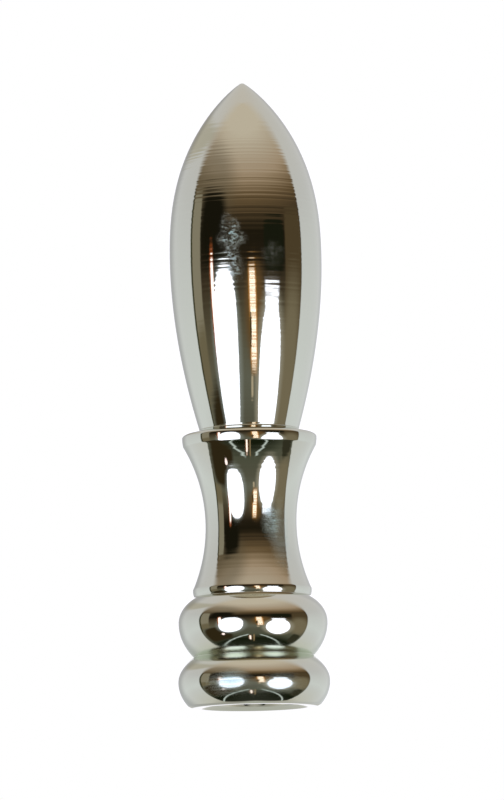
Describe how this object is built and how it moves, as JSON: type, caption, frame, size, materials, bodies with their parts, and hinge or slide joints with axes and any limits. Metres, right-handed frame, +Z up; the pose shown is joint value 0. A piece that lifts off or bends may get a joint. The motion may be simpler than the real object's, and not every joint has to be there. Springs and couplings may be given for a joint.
{
  "type": "lamp finial",
  "caption": "Turned lamp finial: a pointed bullet standing in a flared spool above rounded rings, tapped underneath for a lamp stud.",
  "frame": {"origin": "centre of the underside, level with its flat ring, in the mouth of the tapped hole", "axes": "+Z up the turning axis, out through the point"},
  "size_m": [0.0124, 0.0124, 0.0508],
  "materials": {
    "nickel_plate": "polished nickel plate over turned brass, with faint lathe lines round the bullet"
  },
  "bodies": {
    "root": {"finial": "nickel_plate"}
  },
  "joints": []
}
